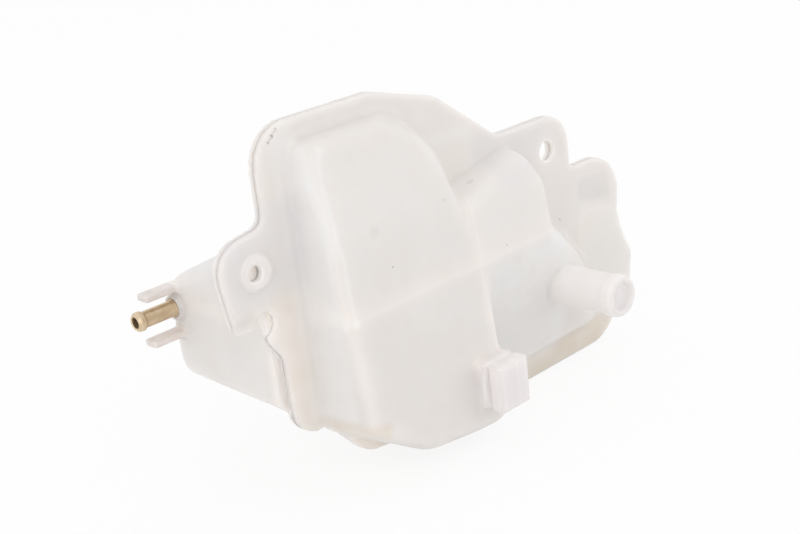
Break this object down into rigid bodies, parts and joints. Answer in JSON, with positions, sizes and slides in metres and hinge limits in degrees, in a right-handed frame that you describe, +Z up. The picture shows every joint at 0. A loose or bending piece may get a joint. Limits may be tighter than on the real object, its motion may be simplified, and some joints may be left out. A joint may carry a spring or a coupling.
{
  "type": "coolant expansion tank",
  "caption": "Translucent moulded expansion tank of two welded shells, with a hose outlet, a vent nipple, a mounting flange and a screw cap that holds pressure and vacuum valves.",
  "frame": {"origin": "centre of the flange's bolt hole, on the weld plane between the two shells", "axes": "+X along the flange away from the nipple's end, +Y through the bolt hole towards the rear shell and the cap, +Z up as pictured"},
  "size_m": [0.2934, 0.1698, 0.1865],
  "materials": {
    "milky_plastic": "translucent milky polypropylene, satin",
    "nipple_metal": "dull brown brass",
    "black_plastic": "black, fine grain",
    "seal_rubber": "black, smooth",
    "valve_plastic": "natural, satin",
    "spring_steel": "bright drawn wire"
  },
  "bodies": {
    "tank": {"front_shell": "milky_plastic", "rear_shell": "milky_plastic", "vent_nipple": "nipple_metal"},
    "housing": {"valve_housing": "black_plastic", "neck_seal": "seal_rubber", "spring_cover": "black_plastic", "pressure_spring": "spring_steel"},
    "cap": {"cap_shell": "black_plastic"},
    "pressure": {"pressure_valve": "valve_plastic", "pressure_gasket": "seal_rubber", "vacuum_spring": "spring_steel"},
    "vacuum": {"vacuum_valve": "valve_plastic", "vacuum_clip": "spring_steel"}
  },
  "joints": [
    {"name": "cap_lift", "type": "slide", "parent": "tank", "child": "housing", "axis": [0, 1, 0], "range_m": [0, 0.008]},
    {"name": "cap_turn", "type": "hinge", "parent": "housing", "child": "cap", "pos_m": [-0.042, 0.1, -0.064], "axis": [0, 1, 0], "range_deg": [0, 720]},
    {"name": "pressure_open", "type": "slide", "parent": "housing", "child": "pressure", "axis": [0, 1, 0], "range_m": [0, 0.002], "stiffness_N_per_m": 2000, "springref_m": -0.008, "deforming": ["pressure_spring"]},
    {"name": "vacuum_open", "type": "slide", "parent": "pressure", "child": "vacuum", "axis": [0, -1, 0], "range_m": [0, 0.0012], "stiffness_N_per_m": 300, "springref_m": -0.003, "deforming": ["vacuum_spring"]}
  ],
  "couplings": [
    {"joint": "cap_lift", "follows": "cap_turn", "m_per_rad": 0.0006366}
  ]
}
